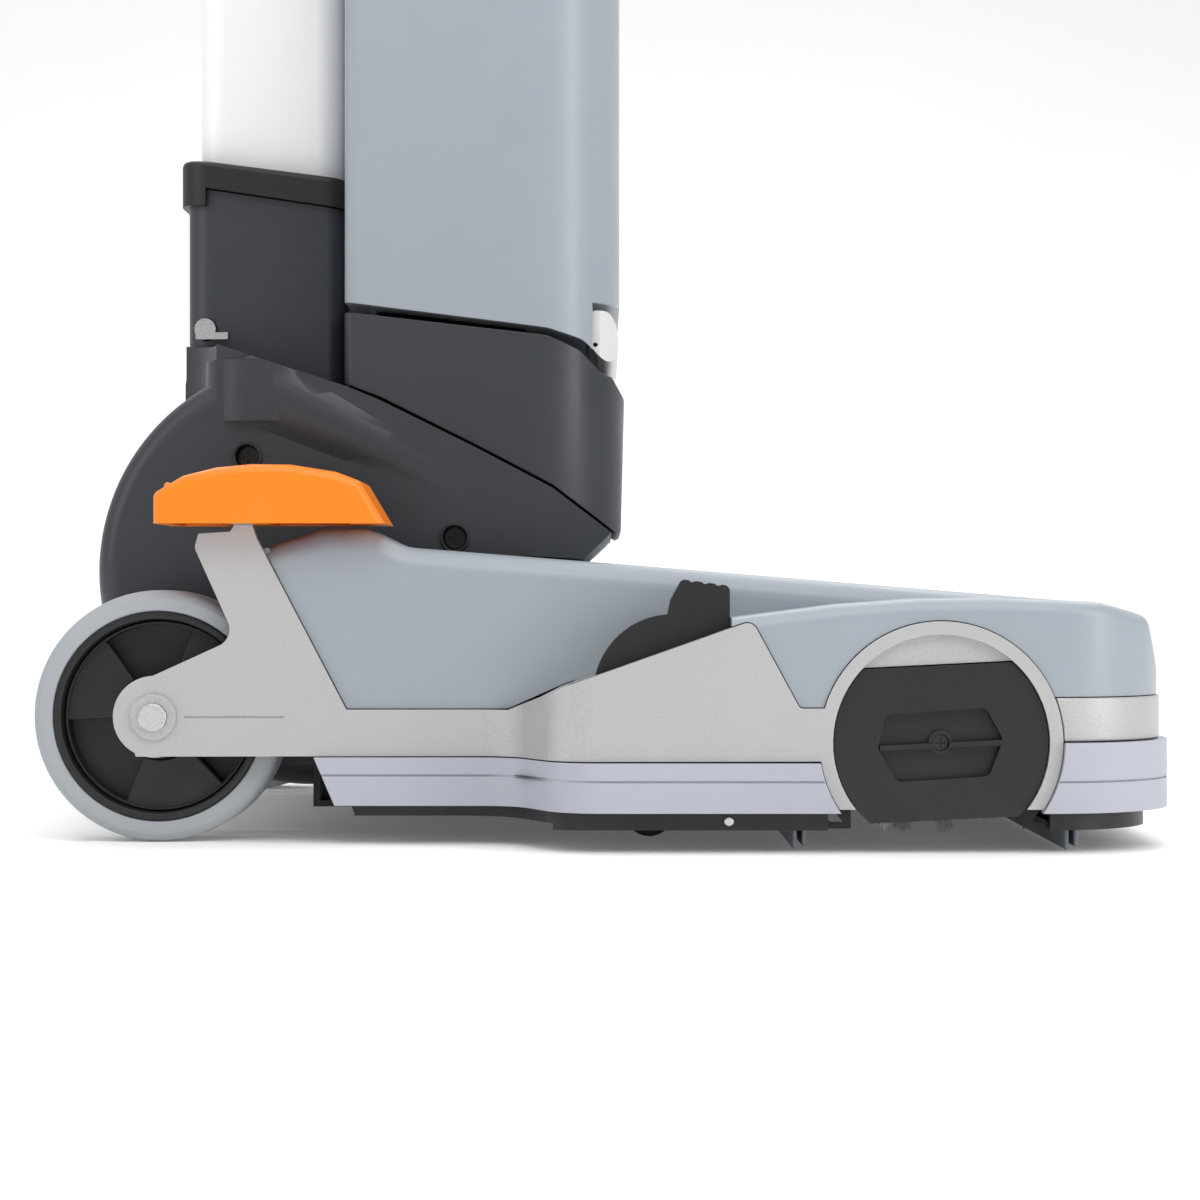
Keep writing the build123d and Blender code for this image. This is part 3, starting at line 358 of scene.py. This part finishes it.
def lathe(bm, profile, x, z, segments, start=0.0, sweep=360.0):
    """Turns a closed profile of (radius, y) points in millimetres about an axis along Y through x, z."""
    full = sweep == 360.0
    count = segments if full else segments + 1
    rings = []
    for radius, y in profile:
        angles = [math.radians(start + sweep * k / segments) for k in range(count)]
        rings.append([bm.verts.new(((x + radius * math.cos(a)) * MM, y * MM, (z + radius * math.sin(a)) * MM))
                      for a in angles])
    for a, b in zip(rings, rings[1:] + rings[:1]):
        for k in range(segments):
            n = (k + 1) % count
            bm.faces.new((a[k], a[n], b[n], b[k]))
    if not full:
        bm.faces.new([ring[0] for ring in rings])
        bm.faces.new([ring[-1] for ring in reversed(rings)])


AXLE = (-175.0, 50.0)  # X and Z of the rear wheels
WHEEL_FACE = 170.0     # distance of a wheel's outer face from the middle plane
# (radius, depth behind the outer face)
TYRE_PROFILE = [
    (41.6, 1.0), (42.4, 0.7), (46.3, 0.75), (46.9, 1.0), (48.2, 1.7), (49.2, 3.0), (49.75, 4.8), (49.95, 7.0),
    (49.95, 27.0), (49.75, 29.2), (49.2, 31.0), (48.2, 32.3), (46.9, 33.0), (46.3, 33.25), (42.4, 33.3),
    (41.6, 33.0), (41.6, 30.1), (40.2, 30.1), (40.2, 3.9), (41.6, 3.9),
]
RIM_PROFILE = [
    (41.35, 0.7), (40.7, 0.5), (39.1, 0.5), (38.5, 0.9), (38.2, 1.6), (38.0, 8.0), (37.9, 13.4), (37.4, 13.9),
    (17.6, 14.0), (17.1, 13.5), (17.0, 2.0), (16.5, 1.2), (9.0, 0.8), (5.2, 0.8), (5.06, 1.0), (5.06, 32.6),
    (9.0, 33.0), (16.5, 33.0), (17.0, 32.4), (17.1, 17.6), (17.6, 17.0), (37.2, 17.0), (37.8, 17.6),
    (38.0, 32.0), (38.6, 33.1), (40.7, 33.2), (41.35, 32.9), (41.35, 30.3), (40.0, 30.1), (40.0, 3.9),
    (41.35, 3.7),
]
WEB_PROFILE = [(17.3, 5.2), (37.9, 6.4), (37.9, 14.2), (17.3, 14.2)]
LIP_PROFILE = [(37.6, 13.8), (37.6, 5.5), (36.4, 5.5), (36.4, 13.8)]
WEB_SPANS = ((126.0, 183.0), (248.0, 313.0), (8.0, 69.0))  # degrees


def wheel(side):
    """Tyre and rim of one rear wheel with the rim's raised webs and lip; side is -1 right, 1 left."""
    tag = "right" if side < 0 else "left"

    def turned(name, profile, material, segments, node=None, bevel=0.0, start=0.0, sweep=360.0):
        bm = bmesh.new()
        placed = [(radius, side * (WHEEL_FACE - depth)) for radius, depth in profile]
        lathe(bm, placed, *AXLE, segments, start, sweep)
        finish_piece(name, bm, material, "wheel_" + tag, node, bevel)

    turned(f"tyre_{tag}_skin", TYRE_PROFILE, "tyre_rubber", 180, "tyre_" + tag)
    turned(f"rim_{tag}_skin", RIM_PROFILE, "black_plastic", 144, "rim_" + tag)
    for index, (start, end) in enumerate(WEB_SPANS):
        turned(f"rim_{tag}_web_{index}", WEB_PROFILE, "black_plastic", 24,
               bevel=0.0009, start=start, sweep=end - start)
    turned(f"rim_{tag}_lip", LIP_PROFILE, "black_plastic", 144, bevel=0.0003)


def tube(bm, points, radii, sides):
    """Mesh tube with closed ends along points; one radius per point, in metres."""
    rings = []
    for k, p in enumerate(points):
        a = points[max(k - 1, 0)]
        b = points[min(k + 1, len(points) - 1)]
        axis = (b - a).normalized()
        ref = Vector((0, 1, 0)) if abs(axis.y) < 0.9 else Vector((1, 0, 0))
        u = axis.cross(ref).normalized()
        v = axis.cross(u)
        rings.append([bm.verts.new(p + (u * math.cos(t) + v * math.sin(t)) * radii[k])
                      for t in (2 * math.pi * i / sides for i in range(sides))])
    for a, b in zip(rings, rings[1:]):
        bridge(bm, a, b)
    bm.faces.new(list(reversed(rings[0])))
    bm.faces.new(rings[-1])


BRUSH_CENTRE = Vector((0.129, 0, 0.042))
TUFT_ROWS, TUFT_HALF = 4, 12                 # rows round the roller, tufts in half a row
TUFT_PITCH, TUFT_SHIFT = 14.6, -13           # millimetres along Y
ROW_STEP, TUFT_STEP, PHASE = 90, 22.5, -8.5  # degrees
BRISTLES = 26                                # per tuft
ROOT_RADIUS, TIP_RADIUS = 19.0, 40.9
BRISTLE_STATIONS = (0.0, 0.35, 0.7, 1.0)
BRISTLE_RADII = (0.00042, 0.0004, 0.00038, 0.00024)


def bristle(bm, rnd, root, out, side, lean):
    """One nylon bristle that fans out from the root of its tuft."""
    rr = math.sqrt(rnd.random())
    t = rnd.uniform(0, 2 * math.pi)
    du, dv = rr * math.cos(t), rr * math.sin(t)
    length = TIP_RADIUS - 0.8 * rr - rnd.uniform(0.0, 1.2)
    if rnd.random() < 0.05:  # a few stray ones
        du, dv = du * 1.35, dv * 1.3
    points = []
    for s in BRISTLE_STATIONS:
        radius = ROOT_RADIUS + (length - ROOT_RADIUS) * s
        spread = 2.1 + 1.5 * s + 0.4 * s * s
        points.append(root + out * radius * MM + side * (du * spread + lean * 6 * s * s) * MM
                      + Vector((0, dv * spread * MM, 0)))
    tube(bm, points, BRISTLE_RADII, 5)


def bristles():
    """Tufts of the brush roller in four rows that spiral from the middle to both ends."""
    rnd = random.Random(11)
    bm = bmesh.new()
    for row in range(TUFT_ROWS):
        for k in range(-TUFT_HALF, TUFT_HALF):
            step = k if k >= 0 else -k - 1
            angle = math.radians(ROW_STEP * row + TUFT_STEP * step + PHASE)
            out = Vector((math.cos(angle), 0, math.sin(angle)))
            side = Vector((-math.sin(angle), 0, math.cos(angle)))
            root = BRUSH_CENTRE + Vector((0, ((k + 0.5) * TUFT_PITCH + TUFT_SHIFT) * MM, 0))
            lean = rnd.uniform(-0.05, 0.05)
            for _ in range(BRISTLES):
                bristle(bm, rnd, root, out, side, lean)
    finish_piece("brush_bristles", bm, "bristle", "brush", "brush_tufts")


TUBE_X = -145  # X of the handle tube's axis
# X, Z and radius along the loop in millimetres
GRIP_PATH = [
    (TUBE_X, 1052, 16), (-146, 1084, 15), (-153, 1112, 13), (-170, 1129, 12), (-187, 1134, 11.5),
    (-204, 1128, 11.5), (-213, 1110, 11.5), (-206, 1088, 11.5), (-188, 1070, 11.5),
    (-167, 1055, 11.5), (-150, 1044, 11.5),
]
# (radius, Z) of the collar round the tube
GRIP_COLLAR = [(15.3, 1024.4), (18.2, 1024.1), (18.9, 1025.2), (19.0, 1060.0), (18.6, 1067.0),
               (17.0, 1070.5), (15.3, 1070.8)]
COLLAR_SIDES = 96


def grip_loop():
    """Mesh of the swept D-shaped loop."""
    curve = bpy.data.curves.new("grip_path", "CURVE")
    curve.dimensions = "3D"
    spline = curve.splines.new("NURBS")
    spline.points.add(len(GRIP_PATH) - 1)
    for point, (x, z, radius) in zip(spline.points, GRIP_PATH):
        point.co = (x * MM, 0, z * MM, 1)
        point.radius = radius / 14.0
    spline.order_u = 3
    spline.use_endpoint_u = True
    spline.resolution_u = 12
    curve.bevel_depth = 0.0139
    curve.bevel_resolution = 10
    temp = new_object("grip_path", curve)
    data = evaluated_mesh(temp)
    bpy.data.objects.remove(temp)
    return data


def grip():
    """Handle loop with its collar on the tube."""
    bm = bmesh.new()
    bm.from_mesh(grip_loop())
    rings = []
    for radius, z in GRIP_COLLAR:
        angles = [2 * math.pi * i / COLLAR_SIDES for i in range(COLLAR_SIDES)]
        rings.append([bm.verts.new(((TUBE_X + radius * math.cos(a)) * MM, radius * math.sin(a) * MM, z * MM))
                      for a in angles])
    for a, b in zip(rings, rings[1:] + rings[:1]):
        bridge(bm, a, b)
    finish_piece("handle_grip_skin", bm, "charcoal", "handle", "handle_grip")


# ---------------------------------------------------------------- stage, lights and camera
HALF_WIDTH = 6.0      # of the floor
FLAT_STEPS, BEND_STEPS = 8, 16
BEND_RADIUS = 1.6


def floor():
    """Pale floor that bends up into a backdrop behind the machine."""
    rows = [(-4.0 + i * 0.9, 0.0) for i in range(FLAT_STEPS)]
    for i in range(BEND_STEPS + 1):
        a = i / BEND_STEPS * math.pi / 2
        rows.append((2.3 + BEND_RADIUS * math.sin(a), BEND_RADIUS - BEND_RADIUS * math.cos(a)))
    rows.append((3.9, 5.0))
    bm = bmesh.new()
    grid = [[bm.verts.new((x, y, z)) for x in (-HALF_WIDTH, HALF_WIDTH)] for y, z in rows]
    for a, b in zip(grid, grid[1:]):
        bm.faces.new((a[0], a[1], b[1], b[0])).smooth = True
    obj = new_object("floor", mesh_from("floor", bm))
    obj.data.materials.append(plain("pale_floor", (0.93, 0.93, 0.93), 0.7, 0.10))


# place, target, width and height in metres, watts
LIGHTS = {
    "key": ((0.25, -1.9, 2.1), (0, 0, 0.05), (2.4, 1.2), 24),
    "left": ((-2.1, -1.0, 1.2), (0, 0, 0.15), (0.9, 1.8), 10),
    "right": ((1.7, -1.15, 0.7), (0, 0, 0.25), (0.35, 2.0), 16),
    "back": ((0.2, 1.9, 2.6), (0, 0.2, 0.0), (3.4, 2.2), 52),
    "floor_wash": ((0.0, -0.2, 3.2), (0, 0.0, 0.0), (3.6, 2.6), 40),
}
SKY_STRENGTH = 0.5
CAMERA_PLACE = (0.0, -1.258, 0.096)
LENS, SENSOR = 82.5, 36.0  # millimetres


def area_light(name, place, target, size, power):
    data = bpy.data.lights.new(name, "AREA")
    data.shape = "RECTANGLE"
    data.size, data.size_y = size
    data.energy = power
    obj = new_object(name, data)
    obj.location = place
    obj.rotation_euler = (Vector(target) - Vector(place)).to_track_quat("-Z", "Y").to_euler()


def sky():
    world = bpy.data.worlds.new("studio")
    world.use_nodes = True
    background = world.node_tree.nodes["Background"]
    background.inputs[0].default_value = (*WHITE, 1.0)
    background.inputs[1].default_value = SKY_STRENGTH
    bpy.context.scene.world = world


def camera():
    """Level camera in front of the machine's right side."""
    data = bpy.data.cameras.new("camera")
    data.lens = LENS
    data.sensor_width = SENSOR
    data.clip_start = 0.02
    view = new_object("camera", data)
    view.location = CAMERA_PLACE
    view.rotation_euler = (math.radians(90), 0, 0)
    bpy.context.scene.camera = view


wheel(-1)
wheel(1)
bristles()
grip()
for name in NODES:
    if name not in DONE:
        skin(name)

floor()
for name, setting in LIGHTS.items():
    area_light(name, *setting)
sky()
camera()
bpy.context.scene.view_settings.view_transform = "Standard"
